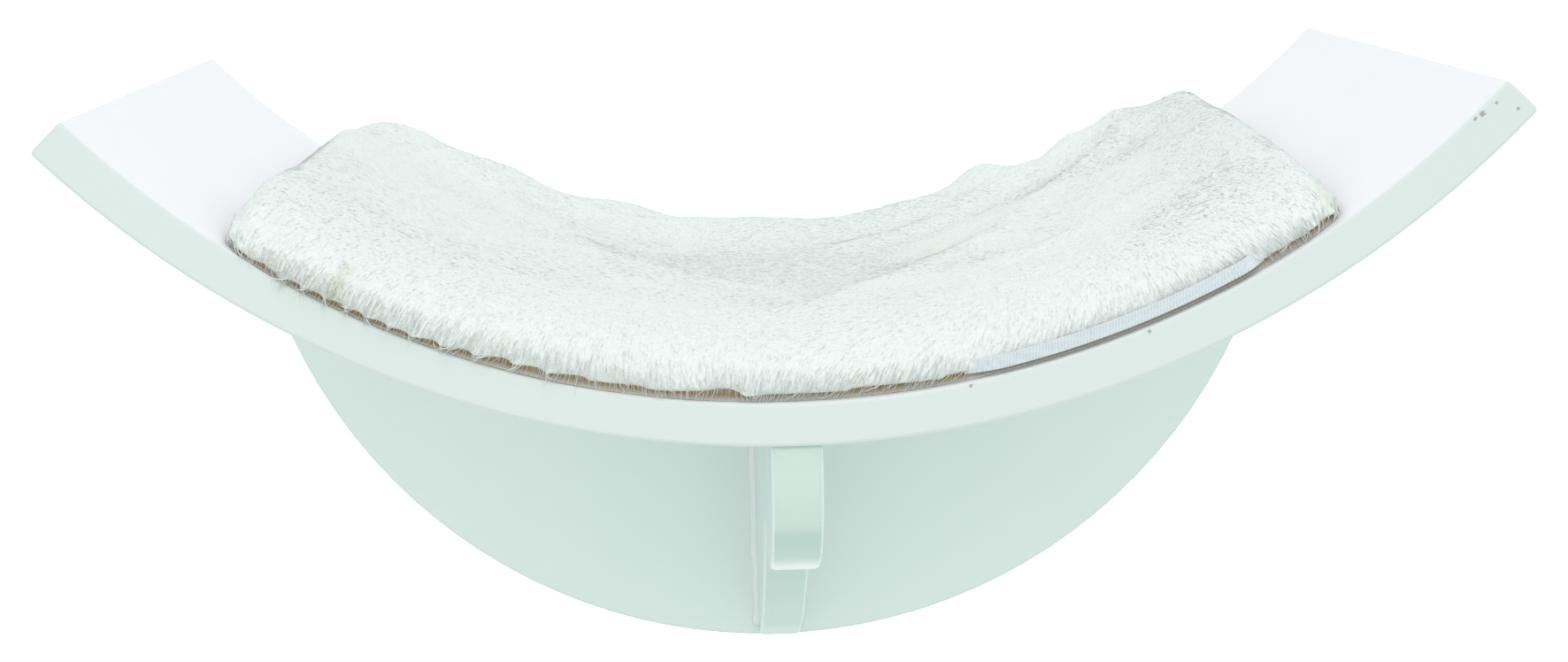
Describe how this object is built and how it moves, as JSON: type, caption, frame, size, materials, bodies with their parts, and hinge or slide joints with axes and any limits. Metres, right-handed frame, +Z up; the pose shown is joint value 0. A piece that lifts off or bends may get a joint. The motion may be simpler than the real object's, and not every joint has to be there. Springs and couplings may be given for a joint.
{
  "type": "cat wall shelf",
  "caption": "Wall-mounted cat cradle: a bent board on a half-moon wall plate and a lobed support fin, with a removable plush cushion held by hook and loop strips.",
  "frame": {"origin": "on the wall plate's rear face, on its centre line, half way between the board's underside and the plate's lowest edge", "axes": "+X along the wall to the right seen from the room, +Y into the wall, +Z up; the shelf stands out towards -Y"},
  "size_m": [0.419, 0.28, 0.2189],
  "materials": {
    "white_lacquer": "white satin lacquer on board",
    "glue_bead": "lumpy filler painted white",
    "beech": "plain beech",
    "plated_steel": "zinc plated",
    "hook_tape": "woven nylon tape with hooks",
    "loop_tape": "woven nylon tape with loops",
    "base_cloth": "ribbed knit backing",
    "wadding": "polyester wadding",
    "plush": "long-pile plush"
  },
  "bodies": {
    "shelf": {"curved_shelf": "white_lacquer", "wall_plate": "white_lacquer", "support_fin": "white_lacquer", "glue_bead_left": "glue_bead", "glue_bead_right": "glue_bead", "fin_dowel_front": "beech", "fin_dowel_middle": "beech", "fin_dowel_rear": "beech", "plate_dowel_far_left": "beech", "plate_dowel_left": "beech", "plate_dowel_right": "beech", "plate_dowel_far_right": "beech", "locating_dowel": "beech", "rear_screw_upper": "plated_steel", "rear_screw_lower": "plated_steel", "keyhole_hanger_left": "plated_steel", "keyhole_hanger_right": "plated_steel", "hanger_screw_left_upper": "plated_steel", "hanger_screw_left_lower": "plated_steel", "hanger_screw_right_upper": "plated_steel", "hanger_screw_right_lower": "plated_steel", "hook_strip_left": "hook_tape", "hook_strip_middle": "hook_tape", "hook_strip_right": "hook_tape"},
    "cushion": {"loop_strip_left": "loop_tape", "loop_strip_middle": "loop_tape", "loop_strip_right": "loop_tape", "base_cloth": "base_cloth", "wadding_pad": "wadding", "plush_cover": "plush"}
  },
  "joints": [
    {"name": "cushion_lift_off", "type": "slide", "parent": "shelf", "child": "cushion", "axis": [0, 0, 1], "range_m": [0, 0.12]}
  ]
}
